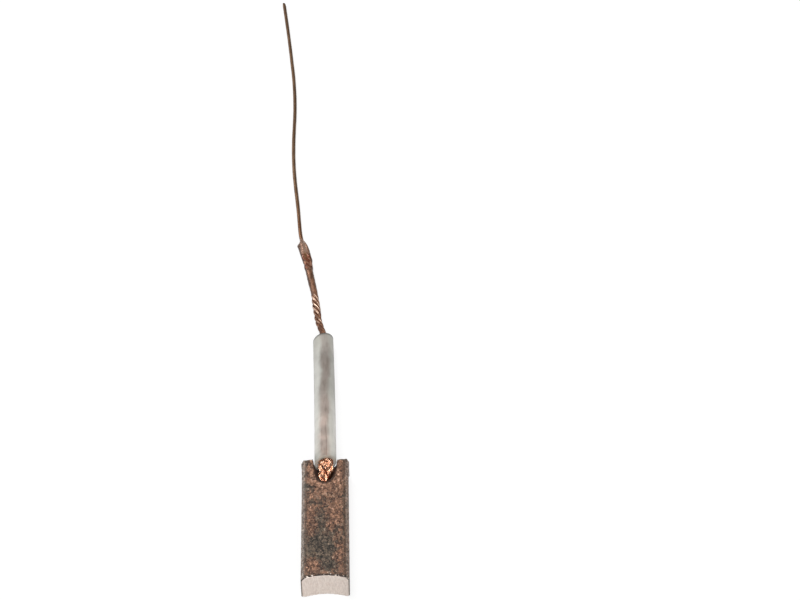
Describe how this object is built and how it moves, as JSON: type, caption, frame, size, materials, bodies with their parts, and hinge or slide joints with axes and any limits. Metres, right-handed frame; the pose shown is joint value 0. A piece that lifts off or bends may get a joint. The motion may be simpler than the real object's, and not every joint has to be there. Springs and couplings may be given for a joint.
{
  "type": "carbon brush",
  "caption": "Rectangular copper-graphite brush with a curved contact face, a stranded shunt cable in a milky sleeve and a brazed solid lead wire.",
  "frame": {"origin": "middle of the block's back face, which the brush lies on", "axes": "+Y from the contact face towards the lead, +Z out of the notched front face, X across the block"},
  "size_m": [0.011, 0.1292, 0.0054],
  "materials": {
    "copper_graphite": "matte pressed copper and graphite, brown and grey mottled, with a bright worn contact face",
    "copper_strand": "bare stranded copper, bright where it is freshly bent and brown elsewhere",
    "milky_tubing": "milky translucent tubing, satin",
    "braze": "dull brazed copper, pinkish grey",
    "dull_copper": "drawn copper wire, dulled brown"
  },
  "bodies": {
    "root": {"brush_block": "copper_graphite", "shunt_cable": "copper_strand", "insulating_sleeve": "milky_tubing", "braze_joint": "braze", "lead_wire": "dull_copper"}
  },
  "joints": []
}
